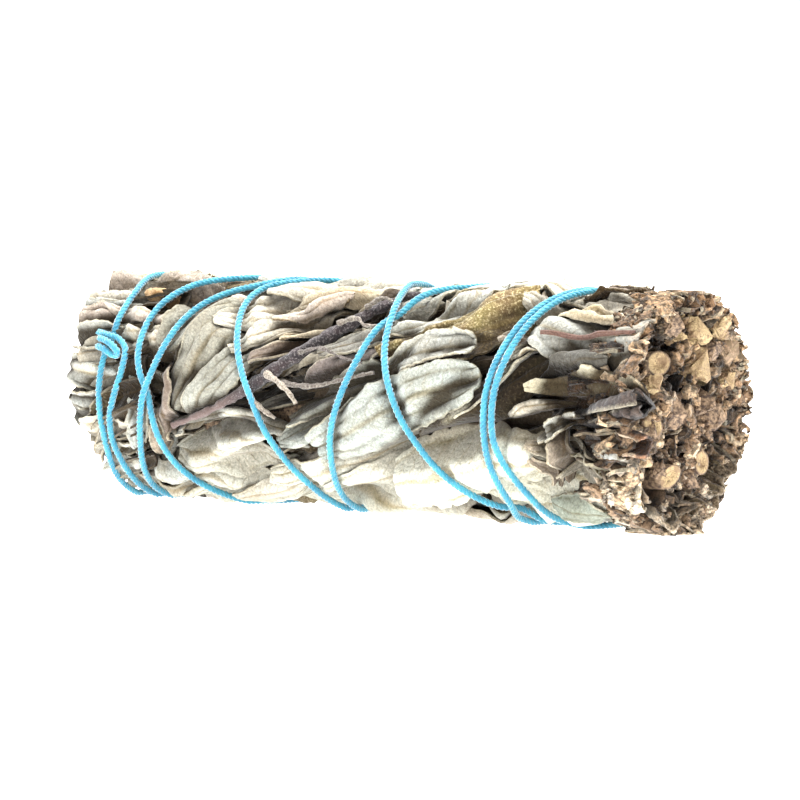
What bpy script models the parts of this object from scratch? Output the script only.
"""A yerba santa smudge stick: seven leafy stems laid together with a slow twist and bound with one
cotton thread, which winds from the leaf tips towards the cut end and back to the hitch it starts from.

Metres, +Z up. The stick lies along X, with its cut end at +X and its leaf tips at -X. It rests on the
flat that its own weight pressed along its underside, and the origin is at the middle of that flat.
A place on the stick is given as x along it, an angle round it and a radius from its axis. The angle is
0 at the front (-Y), 90 on top, 180 at the back and -90 underneath.
"""

import math
import random

import bmesh
import bpy
import numpy as np
from mathutils import Matrix, Vector

MM = 0.001

# Driving dimensions, here and below in millimetres and degrees
LENGTH = 100.0
TIP_RADIUS = 17.7
CUT_RADIUS = 16.9
MEAN_RADIUS = (TIP_RADIUS + CUT_RADIUS) / 2
AXIS_HEIGHT = 16.9

# Six stems round a middle one, turned by the twist for each millimetre along the stick
OUTER_STEMS = 6
MIDDLE = OUTER_STEMS
FIRST_STEM_ANGLE = -60.0
TWIST = 1.1
GAP = 0.36

# The tip end is set back at its lower front, and the cut leans back towards the underside
TIP_SET_BACK = 3.0
TIP_SET_BACK_ANGLE = -50.0
TIP_SET_BACK_SPREAD = 45.0
CUT_LEAN = 1.2

# Leaves that come this close to the ground are pressed past it, and the ground then cuts them flat
PRESS_REACH = 0.8
PRESS_OVER = 0.25

# The thread, how far its centre lies under the outline, and the channel that the leaves leave for it
THREAD_RADIUS = 0.55
THREAD_SINK = 0.4
THREAD_CLEARANCE = 0.08
THREAD_STEP = 6.0
CHANNEL_RADIUS = 0.92
CHANNEL_STRETCH = 24

# How far the thread presses the leaves in under it, and how wide that dent is
PINCH_DEPTH = 1.7
PINCH_WIDTH = 2.6
PINCH_STEP = 1.5

# The pressed inner leaves of a stem
CORE_DEPTH = 2.5
CORE_BOTTOM = 3.9
CORE_START = -46.0
CORE_END = 46.2
CORE_SIDE_ANGLE = 0.3
CORE_TAPER = 0.14
CORE_TAPER_SHARE = 0.125
CORE_STEPS = (16, 2, 2)
HEART_RADIUS = 3.3
HEART_SIDES = 12

# Woody stems, inside the leafy ones
WOOD_RADIUS = 1.75
WOOD_CIRCLE = 9.2
WOOD_START = -35
WOOD_STEP = 10
WOOD_ENDS = (0.6, 2.8)
HEART_WOOD_RADIUS = 1.35
BORE_GAP = 0.3

# The bare twig, how deep it sinks and its bed
TWIG_RADIUS = 1.1
TWIG_STEP = 9.0
TWIG_SINK = 0.35
TWIG_GAP = 0.32

# A leaf: its steps along, its outline as shares, how close it comes to its stem's side in degrees,
# how it arches, droops at its tip, and is rooted in the core
LEAF_STEPS = 4
LEAF_WAVE = 0.07
LEAF_BASE = 0.13
LEAF_SPAN = 0.82
LEAF_BLUNTNESS = 0.7
LEAF_EDGE_ANGLES = (0.4, 2.0)
LEAF_BOW = 0.06
LEAF_ROOM_RADIUS = 14.0
LEAF_ARCH = 0.75
LEAF_EDGE_DEPTH = 0.6
LEAF_DROOP = 1.1
LEAF_DROOP_FROM = 0.75
LEAF_ROOT = 1.1
LEAF_THICKNESS = 0.9

# Leaf tips that stand out of the tip end
TIP_THICKNESS = 1.1
TIP_ROOT = 9.0
TIP_POINT = 0.44
TIP_CURL = 0.9
TIP_SIDE_ANGLE = 1.2
TIP_WIDTHS = (6.0, 8.0)
TIP_REACHES = (0.0, 2.5)
TIP_DROOPS = (1.0, 3.5)
MIDDLE_TIP_WIDTH = 4.0
MIDDLE_TIP_REACHES = (1.0, 3.0)
MIDDLE_TIP_DROOP = 0.8

# Crumpled leaf edges that stand out of the cut end
EDGE_THICKNESS = 0.8
EDGE_ROOT = 4.0
EDGE_CRUMPLE = 0.7
EDGE_CRUMPLE_TURN = 5.5
EDGE_SIDE_ANGLE = 1.0
EDGE_LEAN = 2.0
EDGE_REACHES = (0.0, 2.4)
MIDDLE_EDGE_LEAN = 0.3
MIDDLE_EDGE_REACHES = (0.5, 2.0)

# The thread's turns, first to last. Each point is x, the angle, and how far it rides over another turn
# or is pressed down by one. A turn goes down the front, from 90 to -90, and up the back, to -270.
THREAD_TURNS = (
    # Starts in the hitch and runs beside the last turn
    (
        (-45.2, 31, 0.2), (-42.8, 29, 0.8), (-40.6, 27.5, 0.35), (-39.1, 22, 0), (-39.2, 11, 0),
        (-40.4, -1, 0), (-41.5, -12, 0), (-42.0, -24, 0), (-41.9, -36, 0), (-41.9, -50, 0),
        (-41.9, -63, 0), (-41.0, -78, 0), (-39.7, -92, -0.5), (-37.9, -107, -1.4), (-36.0, -124, -0.5),
        (-33.4, -152, 0), (-30.8, -188, 0), (-28.9, -225, 0), (-27.5, -258, 0),
    ),
    # Under the turn that comes back over the brown leaf
    (
        (-27.8, 88, 0), (-30.6, 80, 0), (-33.2, 72, 0), (-35.0, 61, 0), (-36.3, 49, 0),
        (-36.8, 36, 0), (-36.6, 22, 0), (-35.8, 11, -0.3), (-34.5, 0, -0.9), (-33.4, -12, -0.2),
        (-32.6, -24, 0), (-31.2, -38, 0), (-29.2, -50, 0), (-26.6, -62, 0), (-23.5, -75, 0),
        (-20.2, -88, 0), (-17.6, -120, 0), (-15.4, -165, 0), (-13.5, -207, -0.8), (-12.0, -238, 0),
        (-11.6, -258, 0),
    ),
    (
        (-16.0, 84, 0), (-19.7, 73, 0), (-20.8, 62, 0), (-20.6, 50, 0), (-19.6, 38, 0),
        (-18.4, 27, 0), (-16.4, 13, 0), (-14.2, -1, 0), (-12.4, -15, 0), (-10.5, -27, 0),
        (-8.9, -38, 0), (-7.6, -48, 0), (-6.6, -61, 0), (-5.9, -76, 0), (-5.5, -92, -0.5),
        (-4.6, -109, -1.4), (-3.4, -126, -0.4), (-1.4, -160, 0), (0.6, -205, 0), (2.2, -250, 0),
    ),
    # Over the shallow turn near the middle
    (
        (2.9, 88, 0), (4.2, 74, 0), (5.2, 64, 0.1), (6.3, 54, 0.45), (6.8, 43, 0.1), (7.5, 31, 0),
        (8.7, 18, 0), (10.4, 5, 0), (12.1, -6, 0), (14.0, -16, 0), (16.2, -28, 0), (18.6, -39, 0),
        (21.2, -48, 0), (23.4, -57, -0.4), (25.3, -66, -1.3), (27.6, -76, -0.4), (30.2, -88, 0),
        (31.2, -105, 0), (31.7, -140, 0), (31.9, -180, 0), (32.2, -212, -0.2), (33.0, -236, -0.9),
        (34.4, -258, -0.2),
    ),
    # The furthest turn, where the winding goes back
    (
        (33.8, 88, 0), (32.3, 75, 0), (31.1, 64, 0), (30.1, 53, 0), (29.2, 42, 0), (28.4, 31, 0),
        (27.7, 20, 0), (27.2, 9, 0), (27.0, -3, 0), (27.1, -13, 0), (27.9, -23, 0), (29.0, -32, 0),
        (30.2, -43, 0), (31.0, -55, 0), (31.9, -66, 0), (33.8, -76, 0), (36.4, -88, 0),
        (37.2, -110, 0), (36.9, -150, 0), (36.3, -190, 0), (35.1, -215, 0.1), (33.0, -236, 0.45),
        (31.7, -258, 0.1),
    ),
    # Beside it, over the crossing low on the front
    (
        (31.9, 88, 0), (30.9, 75, 0), (29.8, 64, 0), (28.8, 53, 0), (27.9, 42, 0), (27.1, 31, 0),
        (26.4, 20, 0), (25.9, 9, 0), (25.7, -3, 0), (25.6, -15, 0), (25.7, -27, 0), (26.0, -38, 0),
        (26.2, -48, 0), (25.8, -57, 0), (25.3, -66, 0.1), (25.8, -77, 0), (26.2, -90, 0),
        (25.4, -120, 0), (22.6, -160, 0), (19.3, -205, 0), (16.4, -245, 0),
    ),
    # The shallow turn near the middle
    (
        (14.8, 88, 0), (11.6, 79, 0), (9.3, 72, 0), (7.8, 63, -0.3), (6.3, 54, -1.05), (5.2, 44, -0.3),
        (4.3, 33, 0), (3.2, 21, 0), (1.6, 7, 0), (0.1, -6, 0), (-1.0, -18, 0), (-1.9, -32, 0),
        (-2.8, -46, 0), (-3.4, -60, 0), (-3.5, -76, 0), (-3.7, -92, 0), (-4.6, -109, 0),
        (-6.0, -126, 0), (-9.4, -165, 0), (-13.5, -207, 0.45), (-16.4, -235, 0), (-18.5, -258, 0),
    ),
    (
        (-19.4, 86, 0), (-21.6, 74, 0), (-25.2, 64, 0), (-28.0, 54, 0), (-30.0, 43, 0),
        (-31.4, 31, 0), (-32.7, 18, 0), (-33.6, 9, 0.1), (-34.5, 0, 0.35), (-35.4, -10, 0.1),
        (-36.6, -25, 0), (-38.2, -42, 0), (-39.2, -58, 0), (-38.6, -75, 0), (-37.7, -92, 0),
        (-37.9, -107, 0), (-38.7, -124, 0), (-40.2, -147, -0.2), (-41.6, -165, -0.8),
        (-43.0, -186, -0.1), (-44.2, -215, 0), (-45.0, -250, 0),
    ),
    # The last turn, under the hitch and then up the back, where the end is tucked over the turn before
    (
        (-45.0, 86, 0), (-44.3, 74, 0), (-43.2, 61, 0), (-42.7, 48, 0), (-42.7, 39, -0.1),
        (-42.8, 29, -0.55), (-43.0, 19, -0.1), (-43.2, 7, 0), (-43.3, -7, 0), (-43.4, -21, 0),
        (-43.9, -34, 0), (-44.8, -48, 0), (-45.3, -62, 0), (-45.3, -78, 0), (-45.0, -95, 0),
        (-44.6, -115, 0), (-43.5, -142, 0.1), (-41.6, -165, 0.45), (-39.8, -181, 0.1), (-38.8, -190, 0),
    ),
)

# The bare twig on the front: x, angle and its thickness as a share
TWIG_ROUTE = (
    (-30.5, -16, 0.8), (-25.0, -9, 0.8), (-20.5, -2, 0.85), (-15.4, 8, 1.0), (-12.0, 17, 1.05),
    (-8.0, 27, 1.1), (-4.5, 37, 1.1), (-1.2, 48, 1.05), (1.4, 60, 1.0), (3.6, 72, 0.9), (5.2, 82, 0.8),
)

# Leaves placed as they lie on the front: x and angle of the stalk end, x and angle of the tip, width,
# and how far the leaf's back stands under the outline
FRONT_LEAVES = (
    (-30, -6, -20, 46, 8.0, 0.9), (-33, 12, -23, 56, 4.5, 0.5), (-31, 18, -31, -18, 3.6, 1.0),
    (-30, -20, -9, -24, 3.4, 0.6), (-27, -28, -14, -21, 4.4, 1.1), (-32, -37, -11, -35, 7.0, 0.7),
    (-27, -58, -6, -47, 5.0, 1.1), (-23, -50, -2, -31, 4.6, 0.9), (-45, 44, -29, 46, 7.0, 0.7),
    (-43, 29, -33, 30, 5.0, 1.0), (-19, 30, -9, 62, 4.6, 0.8), (-13, 36, -2, 68, 5.4, 0.6),
    (-9, -9, 15, 32, 6.4, 0.7), (-11, -21, 14, 6, 6.6, 0.6), (-1, -18, 23, 18, 8.6, 0.2),
    (-2, -27, 19, -4, 5.0, 1.3), (9, 24, 22, 33, 5.4, 0.3), (15, 30, 27, 88, 7.4, 0.7),
    (8, 22, 25, 84, 4.6, 1.1), (14, -17, 39, 62, 5.4, 0.8), (9, -37, 36, -25, 8.6, 0.4),
    (-11, -35, 12, -23, 5.6, 0.8), (-6, -54, 23, -36, 6.0, 0.5), (32, -53, 43, -51, 4.4, 0.4),
    (30, -42, 49, -42, 5.0, 1.0), (34, 44, 47, 43, 8.6, 0.6), (31, 66, 46, 74, 6.0, 0.9),
    (33, 28, 42, 31, 4.0, 1.2), (32, 18, 49, 21, 4.0, 0.5), (37, -6, 49.5, 10, 5.0, 0.3),
    (40, -14, 49, -8, 4.2, 0.9), (41, -19, 48, -27, 4.6, 0.6), (36, -13, 44, -26, 3.6, 1.1),
    (29, 6, 38, -10, 4.0, 0.9),
)

# The same for the top, the back and the underside, where a rule lays them in rows
BACK_ROWS = 7
BACK_ANGLES = (96.0, 298.0)
BACK_REACH = (-48.0, 42.0)
BACK_PITCH = 19.0
BACK_PITCH_JITTER = 2.0
BACK_ANGLE_JITTER = 7.0
BACK_SLOPES = (0.4, 1.9)
BACK_LENGTHS = (20.0, 29.0)
BACK_WIDTHS = (6.6, 9.4)
BACK_DEPTHS = (0.1, 1.2)

# Where a stem's leaf tips and cut leaf edges stand: angle from the stem's middle, radius and, for an
# edge, its length round the stick
OUTER_TIPS = ((-19, 16.2), (0, 16.4), (19, 16.2), (-9, 10.5))
OUTER_EDGES = ((-13, 13.4, 6), (12, 13.6, 7), (-14, 6.6, 4.5), (15, 10.0, 5))
MIDDLE_TIPS = ((30, 2.4), (210, 2.2))
MIDDLE_EDGES = ((100, 2.4, 3.4), (280, 2.4, 3.4))

GROUND_SIZE = 200.0
GROUND_DEPTH = 20.0

LEAF_COLOURS = (
    (0.46, 0.44, 0.36), (0.52, 0.50, 0.43), (0.38, 0.36, 0.27), (0.50, 0.47, 0.41),
    (0.43, 0.42, 0.35), (0.48, 0.45, 0.37), (0.36, 0.30, 0.22),
)
WOOD_COLOUR = (0.42, 0.28, 0.14)
TWIG_COLOUR = (0.13, 0.09, 0.09)
THREAD_COLOUR = (0.05, 0.42, 0.66)

draw = random.Random(7)


def outline(x):
    """The stick's radius at x, without the loosest leaf edges."""
    return TIP_RADIUS + (CUT_RADIUS - TIP_RADIUS) * (x / LENGTH + 0.5)


def on_stick(x, angle, radius):
    """The point at x, an angle and a radius, in metres."""
    turn = math.radians(angle)
    return Vector((x, -radius * math.cos(turn), AXIS_HEIGHT + radius * math.sin(turn))) * MM


def arc(angle):
    """Millimetres round the stick's surface for an angle."""
    return math.radians(angle) * MEAN_RADIUS


def wrapped(angle):
    """The same angle between -180 and 180."""
    return (angle + 180) % 360 - 180


def tip_edge(angle):
    """Where the leaf tips end."""
    away = wrapped(angle - TIP_SET_BACK_ANGLE) / TIP_SET_BACK_SPREAD
    return -LENGTH / 2 + TIP_SET_BACK * math.exp(-(away ** 2))


def cut_edge(angle):
    """Where the cut end's rim ends."""
    return LENGTH / 2 - CUT_LEAN + CUT_LEAN * math.sin(math.radians(angle))


def ground_radius(angle, height=0.0):
    """How far from the axis the ground, or a height over it, lies at an angle of the underside."""
    down = -math.sin(math.radians(angle))
    return (AXIS_HEIGHT - height) / down if down > 0.5 else math.inf


def pressed(angle):
    """The radius that leaves on the underside reach, where the stick's weight presses them flat."""
    floor = ground_radius(angle)
    return floor + PRESS_OVER if floor < AXIS_HEIGHT + PRESS_REACH else 0


def through(points, step):
    """A smooth curve through the points, with places about step apart and one at every point."""
    points = [Vector(point) for point in points]
    ends = [2 * points[0] - points[1]] + points + [2 * points[-1] - points[-2]]
    curve = []
    for before, start, end, after in zip(ends, ends[1:], ends[2:], ends[3:]):
        reach = math.hypot(end[0] - start[0], arc(end[1] - start[1]))
        count = max(1, math.ceil(reach / step - 0.25))
        for i in range(count):
            t = i / count
            curve.append(
                0.5 * (2 * start + (end - before) * t
                       + (2 * before - 5 * start + 4 * end - after) * t ** 2
                       + (3 * start - before - 3 * end + after) * t ** 3)
            )
    return curve + [points[-1]]


def thread_route():
    """The whole thread as one list of x, running angle and lift."""
    route = []
    for turn, points in enumerate(THREAD_TURNS):
        route += [(x, angle - 360 * turn, lift) for x, angle, lift in points]
    return route


def thread_place(x, angle, lift):
    """The thread's own centre, kept just clear of what the stick lies on."""
    lowest = THREAD_RADIUS + THREAD_CLEARANCE
    radius = min(outline(x) - THREAD_SINK, ground_radius(angle, lowest))
    place = on_stick(x, angle, radius + lift)
    place.z = max(place.z, lowest * MM)
    return place


PINCHED = np.array([(x, angle) for x, angle, _ in through(thread_route(), PINCH_STEP)])


def dent(x, angle):
    """How deep the thread presses the leaves in at a place."""
    across = np.radians((PINCHED[:, 1] - angle + 180) % 360 - 180) * outline(x)
    distance = np.hypot(PINCHED[:, 0] - x, across).min()
    return PINCH_DEPTH * math.exp(-((distance / PINCH_WIDTH) ** 2))


def material(name, colour, roughness):
    finish = bpy.data.materials.new(name)
    finish.use_nodes = True
    shader = finish.node_tree.nodes["Principled BSDF"]
    shader.inputs["Base Color"].default_value = (*colour, 1)
    shader.inputs["Roughness"].default_value = roughness
    shader.inputs["Metallic"].default_value = 0
    return finish


def collection(name):
    made = bpy.data.collections.new(name)
    bpy.context.scene.collection.children.link(made)
    return made


def finished(name, shape, home):
    """Makes an object of a bmesh shape."""
    mesh = bpy.data.meshes.new(name)
    shape.to_mesh(mesh)
    shape.free()
    made = bpy.data.objects.new(name, mesh)
    home.objects.link(made)
    return made


def block(name, steps, place, home):
    """A cube cut into steps along, across and deep, whose corners place() carries to the stick."""
    shape = bmesh.new()
    bmesh.ops.create_cube(shape, size=1, matrix=Matrix.Translation((0.5, 0.5, 0.5)))
    for axis, count in enumerate(steps):
        normal = Vector((0, 0, 0))
        normal[axis] = 1
        for cut in range(1, count):
            everything = shape.verts[:] + shape.edges[:] + shape.faces[:]
            bmesh.ops.bisect_plane(
                shape, geom=everything, dist=1e-6, plane_co=normal * cut / count, plane_no=normal
            )
    for corner in shape.verts:
        corner.co = place(*corner.co)
    bmesh.ops.triangulate(shape, faces=shape.faces)
    bmesh.ops.recalc_face_normals(shape, faces=shape.faces)
    return finished(name, shape, home)


def bar(name, places, radius, home, sides=6, shares=None):
    """A round bar through the places, made a closed mesh. The shares thin or thicken it."""
    curve = bpy.data.curves.new(name, "CURVE")
    curve.dimensions = "3D"
    curve.bevel_depth = radius * MM
    curve.bevel_resolution = sides // 2 - 2
    curve.use_fill_caps = True
    line = curve.splines.new("POLY")
    line.points.add(len(places) - 1)
    for i, (point, place) in enumerate(zip(line.points, places)):
        point.co = (*place, 1)
        point.radius = shares[i] if shares else 1
    live = bpy.data.objects.new(name, curve)
    home.objects.link(live)
    graph = bpy.context.evaluated_depsgraph_get()
    mesh = bpy.data.meshes.new_from_object(live.evaluated_get(graph))
    bpy.data.objects.remove(live)
    shape = bmesh.new()
    shape.from_mesh(mesh)
    bpy.data.meshes.remove(mesh)
    bmesh.ops.remove_doubles(shape, verts=shape.verts, dist=1e-6)
    bmesh.ops.recalc_face_normals(shape, faces=shape.faces)
    made = finished(name, shape, home)
    made.data.shade_smooth()
    made.data.set_sharp_from_angle(angle=math.radians(70))
    return made


def stem_angle(stem, x):
    """The angle at the middle of an outer stem."""
    return FIRST_STEM_ANGLE + 360 / OUTER_STEMS * stem + TWIST * x


def half_width(stem, radius):
    """Half the angle that a stem may fill at a radius. The middle stem is round."""
    if stem == MIDDLE:
        return 360
    return 180 / OUTER_STEMS - math.degrees(GAP / 2 / radius)


def nearest_stem(x, angle):
    """The outer stem that holds a place."""
    turned = [abs(wrapped(angle - stem_angle(stem, x))) for stem in range(OUTER_STEMS)]
    return turned.index(min(turned))


def core(stem, home):
    """The pressed inner leaves of an outer stem: a wedge of the stick, turned by the twist."""

    def place(along, across, deep):
        x = CORE_START + (CORE_END - CORE_START) * along
        taper = CORE_TAPER * (1 - min(1, along / CORE_TAPER_SHARE))
        outer = (outline(x) - CORE_DEPTH) * (1 - taper)
        radius = CORE_BOTTOM + (outer - CORE_BOTTOM) * deep
        turned = (2 * across - 1) * (half_width(stem, radius) - CORE_SIDE_ANGLE)
        return on_stick(x, stem_angle(stem, x) + turned, radius)

    return block(f"leafy_stem_{stem + 1}", CORE_STEPS, place, home)


def heart(home):
    """The pressed inner leaves of the middle stem, which is round."""
    shape = bmesh.new()
    middle = on_stick((CORE_END + CORE_START) / 2, 0, 0)
    bmesh.ops.create_cone(
        shape, cap_ends=True, segments=HEART_SIDES, radius1=HEART_RADIUS * MM,
        radius2=HEART_RADIUS * MM, depth=(CORE_END - CORE_START) * MM,
        matrix=Matrix.Translation(middle) @ Matrix.Rotation(math.pi / 2, 4, "Y"),
    )
    bmesh.ops.triangulate(shape, faces=shape.faces)
    return finished(f"leafy_stem_{MIDDLE + 1}", shape, home)


def blade_width(along):
    """The outline of a lance-shaped leaf as a share of its full width, with a waved edge."""
    wave = 1 + LEAF_WAVE * math.cos(LEAF_STEPS * math.pi * along)
    return math.sin(math.pi * (LEAF_BASE + LEAF_SPAN * along)) ** LEAF_BLUNTNESS * wave


def leaf(start, end, width, under, blades):
    """A leaf from start to end, both x and angle, on the stem that its middle lies on."""
    edge = draw.uniform(*LEAF_EDGE_ANGLES)
    stem = nearest_stem((start[0] + end[0]) / 2, (start[1] + end[1]) / 2)
    run = end[0] - start[0]
    rise = arc(end[1] - start[1])
    length = math.hypot(run, rise)
    bow = draw.uniform(-LEAF_BOW, LEAF_BOW) * length
    limit = half_width(stem, LEAF_ROOM_RADIUS) - edge

    def place(along, across, deep):
        half = width / 2 * blade_width(along)
        side = (2 * across - 1) * half
        drift = bow * 4 * along * (1 - along) + side
        x = start[0] + run * along - rise / length * drift
        angle = start[1] + (end[1] - start[1]) * along + math.degrees(run / length * drift / MEAN_RADIUS)
        x = min(max(x, tip_edge(angle)), cut_edge(angle))
        # The leaf's middle keeps its half width inside the stem, and its edges keep inside it too
        middle = angle - math.degrees(run / length * side / MEAN_RADIUS)
        room = limit - math.degrees(abs(run) / length * half / MEAN_RADIUS)
        turned = wrapped(middle - stem_angle(stem, x))
        turned = max(-room, min(room, turned)) + angle - middle
        angle = stem_angle(stem, x) + max(-limit, min(limit, turned))
        root = outline(x) - CORE_DEPTH - LEAF_ROOT
        if deep < 0.5:
            return on_stick(x, angle, root)
        arch = LEAF_ARCH * (1 - (2 * across - 1) ** 2)
        droop = LEAF_DROOP * (max(0, along - LEAF_DROOP_FROM) / (1 - LEAF_DROOP_FROM)) ** 2
        top = outline(x) - under - LEAF_EDGE_DEPTH + arch - droop - dent(x, angle)
        return on_stick(x, angle, max(top, root + LEAF_THICKNESS, pressed(angle)))

    block("leaf", (LEAF_STEPS, 2, 1), place, blades[stem])


def front_leaves(blades):
    for start_x, start_angle, end_x, end_angle, width, under in FRONT_LEAVES:
        leaf((start_x, start_angle), (end_x, end_angle), width, under, blades)


def back_leaves(blades):
    """Rows of overlapping leaves over the top, the back and the underside."""
    first, last = BACK_ANGLES
    for row in range(BACK_ROWS):
        middle = first + (last - first) * (row + 0.5) / BACK_ROWS
        x = BACK_REACH[0] + draw.uniform(0, BACK_PITCH)
        while x < BACK_REACH[1]:
            length = draw.uniform(*BACK_LENGTHS)
            slope = draw.uniform(*BACK_SLOPES)
            angle = middle + draw.uniform(-BACK_ANGLE_JITTER, BACK_ANGLE_JITTER) - slope * length / 2
            end = (x + length, angle + slope * length)
            leaf((x, angle), end, draw.uniform(*BACK_WIDTHS), draw.uniform(*BACK_DEPTHS), blades)
            x += BACK_PITCH + draw.uniform(-BACK_PITCH_JITTER, BACK_PITCH_JITTER)


def tip_leaf(stem, offset, radius, width, reach, droop, home):
    """A folded leaf tip that stands out of the tip end."""
    start = CORE_START + TIP_ROOT
    end = tip_edge(stem_angle(stem, CORE_START) + offset) + reach
    limit = half_width(stem, radius) - TIP_SIDE_ANGLE
    under_thread = radius > LEAF_ROOM_RADIUS

    def place(along, across, deep):
        x = start + (end - start) * along
        half = width / 2 * math.sin(math.pi * (0.5 + TIP_POINT * along)) ** 0.8
        spread = math.degrees((2 * across - 1) * half / max(radius, 4))
        angle = stem_angle(stem, x) + max(-limit, min(limit, offset + spread))
        curl = TIP_CURL * (2 * across - 1) ** 2
        top = radius - droop * along ** 2 - curl - (dent(x, angle) if under_thread else 0)
        return on_stick(x, angle, top - (0 if deep > 0.5 else TIP_THICKNESS))

    block("tip_leaf", (3, 2, 1), place, home)


def cut_leaf(stem, offset, radius, width, lean, reach, home):
    """The cut edge of a crumpled leaf that stands out of the cut end."""
    phase = draw.uniform(0, 2 * math.pi)
    start = CORE_END - EDGE_ROOT
    end = cut_edge(stem_angle(stem, CORE_END) + offset) - reach

    def place(along, across, deep):
        x = start + (end - start) * along
        crumple = EDGE_CRUMPLE * math.sin(phase + EDGE_CRUMPLE_TURN * across)
        middle = radius + lean * (across - 0.5) + crumple
        limit = half_width(stem, middle) - EDGE_SIDE_ANGLE
        turned = offset + math.degrees((across - 0.5) * width / max(middle, 3))
        side = EDGE_THICKNESS * (0.5 if deep > 0.5 else -0.5)
        return on_stick(x, stem_angle(stem, x) + max(-limit, min(limit, turned)), middle + side)

    block("cut_leaf", (1, 3, 1), place, home)


def end_leaves(blades):
    """The leaf tips at one end of every stem and the cut leaf edges at the other."""
    for stem in range(OUTER_STEMS):
        for offset, radius in OUTER_TIPS:
            tip_leaf(
                stem, offset, radius, draw.uniform(*TIP_WIDTHS), draw.uniform(*TIP_REACHES),
                draw.uniform(*TIP_DROOPS), blades[stem],
            )
        for offset, radius, width in OUTER_EDGES:
            lean = draw.uniform(-EDGE_LEAN, EDGE_LEAN)
            cut_leaf(stem, offset, radius, width, lean, draw.uniform(*EDGE_REACHES), blades[stem])
    for offset, radius in MIDDLE_TIPS:
        reach = draw.uniform(*MIDDLE_TIP_REACHES)
        tip_leaf(MIDDLE, offset, radius, MIDDLE_TIP_WIDTH, reach, MIDDLE_TIP_DROOP, blades[MIDDLE])
    for offset, radius, width in MIDDLE_EDGES:
        reach = draw.uniform(*MIDDLE_EDGE_REACHES)
        cut_leaf(MIDDLE, offset, radius, width, MIDDLE_EDGE_LEAN, reach, blades[MIDDLE])


def boolean(made, operation, others):
    """Joins a collection to a body or cuts it out. The exact solver loses some of these bodies."""
    change = made.modifiers.new(others.name, "BOOLEAN")
    change.operation = operation
    change.operand_type = "COLLECTION"
    change.collection = others
    change.solver = "MANIFOLD"


def settled(made):
    """Applies a body's modifiers and drops the loose scraps that cutting leaves."""
    graph = bpy.context.evaluated_depsgraph_get()
    mesh = bpy.data.meshes.new_from_object(made.evaluated_get(graph))
    shape = bmesh.new()
    shape.from_mesh(mesh)
    waiting = set(shape.faces)
    bodies = []
    while waiting:
        reached = [waiting.pop()]
        body = list(reached)
        while reached:
            for edge in reached.pop().edges:
                found = [face for face in edge.link_faces if face in waiting]
                waiting.difference_update(found)
                reached += found
                body += found
        bodies.append(body)
    bodies.sort(key=len)
    for body in bodies[:-1]:
        bmesh.ops.delete(shape, geom=body, context="FACES")
    loose = [corner for corner in shape.verts if not corner.link_faces]
    bmesh.ops.delete(shape, geom=loose, context="VERTS")
    shape.to_mesh(mesh)
    shape.free()
    made.modifiers.clear()
    made.data = mesh


def emptied(group):
    for made in list(group.objects):
        bpy.data.objects.remove(made)
    bpy.data.collections.remove(group)


def wood_places(stem, end):
    """The line of a woody stem, which turns with the twist. The middle stem's lies on the axis."""
    circle = 0 if stem == MIDDLE else WOOD_CIRCLE
    stops = [*range(WOOD_START, int(CORE_END), WOOD_STEP), end]
    return [on_stick(x, stem_angle(stem, x), circle) for x in stops]


def wood_radius(stem):
    return HEART_WOOD_RADIUS if stem == MIDDLE else WOOD_RADIUS


def leafy_stem(stem, blades, cutters, home):
    """One leafy stem: its core with its leaves joined on, bored for its wood and cut by the cutters."""
    body = heart(home) if stem == MIDDLE else core(stem, home)
    body.data.materials.append(material(body.name, LEAF_COLOURS[stem], 0.9))
    bores = collection(f"bore_{stem + 1}")
    bar("bore", wood_places(stem, CORE_END + WOOD_STEP), wood_radius(stem) + BORE_GAP, bores)
    boolean(body, "UNION", blades)
    boolean(body, "DIFFERENCE", bores)
    if stem != MIDDLE:
        boolean(body, "DIFFERENCE", cutters)
    settled(body)
    emptied(blades)
    emptied(bores)


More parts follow.
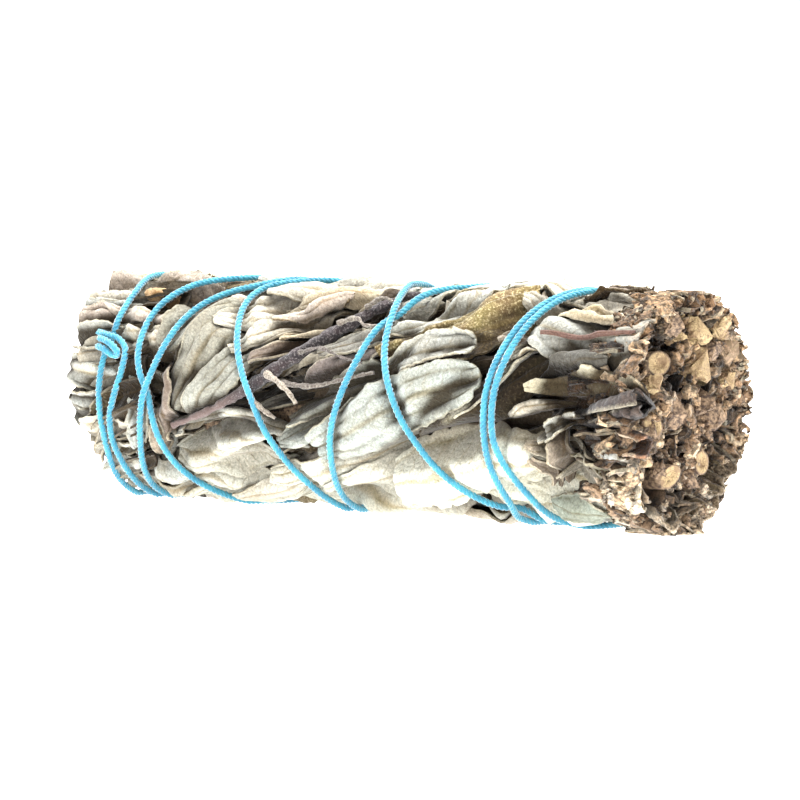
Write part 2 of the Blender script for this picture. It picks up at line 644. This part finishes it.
def woody_stem(stem, home):
    """The wood that carries a stem's leaves, cut off a little inside the cut end."""
    end = CORE_END + draw.uniform(*WOOD_ENDS)
    wood = bar(f"woody_stem_{stem + 1}", wood_places(stem, end), wood_radius(stem), home)
    wood.data.materials.append(material(wood.name, WOOD_COLOUR, 0.8))


def thread(home, cutters):
    """The thread, and the cutters of its channel in stretches that overlap by a step."""
    places = [thread_place(*point) for point in through(thread_route(), THREAD_STEP)]
    for number, first in enumerate(range(0, len(places) - 1, CHANNEL_STRETCH)):
        stretch = places[max(0, first - 1):first + CHANNEL_STRETCH + 2]
        bar(f"thread_channel_{number + 1}", stretch, CHANNEL_RADIUS, cutters)
    made = bar("thread", places, THREAD_RADIUS, home)
    made.data.materials.append(material("thread", THREAD_COLOUR, 0.75))


def bare_twig(home, cutters):
    """The bare twig on the front, and the cutter of its bed."""
    line = through(TWIG_ROUTE, TWIG_STEP)
    places = []
    for x, angle, share in line:
        sink = TWIG_RADIUS * share + max(TWIG_SINK, dent(x, angle))
        places.append(on_stick(x, angle, outline(x) - sink))
    shares = [share for _, _, share in line]
    bar("twig_bed", places, TWIG_RADIUS + TWIG_GAP, cutters, shares=shares)
    made = bar("bare_twig", places, TWIG_RADIUS, home, sides=8, shares=shares)
    made.data.materials.append(material("bare_twig", TWIG_COLOUR, 0.9))


def ground(cutters):
    """The ground under the stick, which cuts its underside flat."""
    shape = bmesh.new()
    flat = Matrix.Diagonal((GROUND_SIZE * MM, GROUND_SIZE * MM, GROUND_DEPTH * MM, 1))
    below = Matrix.Translation((0, 0, -GROUND_DEPTH / 2 * MM))
    bmesh.ops.create_cube(shape, size=1, matrix=below @ flat)
    finished("ground", shape, cutters)


def main():
    for old in list(bpy.data.objects):
        bpy.data.objects.remove(old)
    parts = collection("yerba_santa_smudge_stick")
    cutters = collection("cutters")
    thread(parts, cutters)
    bare_twig(parts, cutters)
    ground(cutters)
    for cutter in cutters.objects:
        cutter.hide_render = True
        cutter.display_type = "WIRE"

    blades = [collection(f"blades_{stem + 1}") for stem in range(OUTER_STEMS + 1)]
    front_leaves(blades)
    back_leaves(blades)
    end_leaves(blades)
    for stem in range(OUTER_STEMS + 1):
        leafy_stem(stem, blades[stem], cutters, parts)
        woody_stem(stem, parts)


main()
